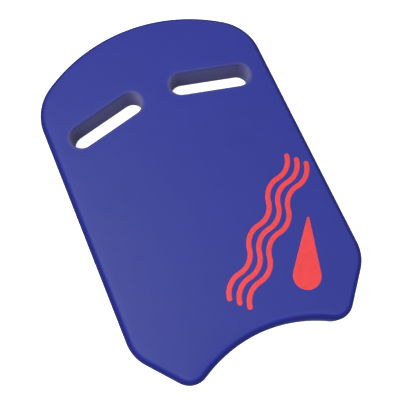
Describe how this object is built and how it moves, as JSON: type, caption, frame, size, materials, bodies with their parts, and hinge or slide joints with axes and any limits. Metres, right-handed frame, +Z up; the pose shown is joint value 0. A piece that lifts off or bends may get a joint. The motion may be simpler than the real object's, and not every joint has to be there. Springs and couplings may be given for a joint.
{
  "type": "kickboard float",
  "caption": "Flat foam swimming board with a round nose, two slanted hand slots and a notched tail, held out in front to keep the arms afloat.",
  "frame": {"origin": "centre of the bottom face's bounding rectangle, on the face that the board lies on", "axes": "+X to the swimmer's right, +Y from the notched tail to the round nose, +Z up through the thickness to the printed face"},
  "size_m": [0.2936, 0.44, 0.0388],
  "materials": {
    "skin_foam": "matt closed-cell EVA foam with a fine moulded pebble",
    "core_foam": "matt cut closed-cell foam",
    "print_film": "satin coral transfer print"
  },
  "bodies": {
    "root": {"foam_core": "core_foam", "top_skin": "skin_foam", "bottom_skin": "skin_foam", "print_wave_upper": "print_film", "print_wave_middle": "print_film", "print_wave_lower": "print_film", "print_drop": "print_film"}
  },
  "joints": []
}
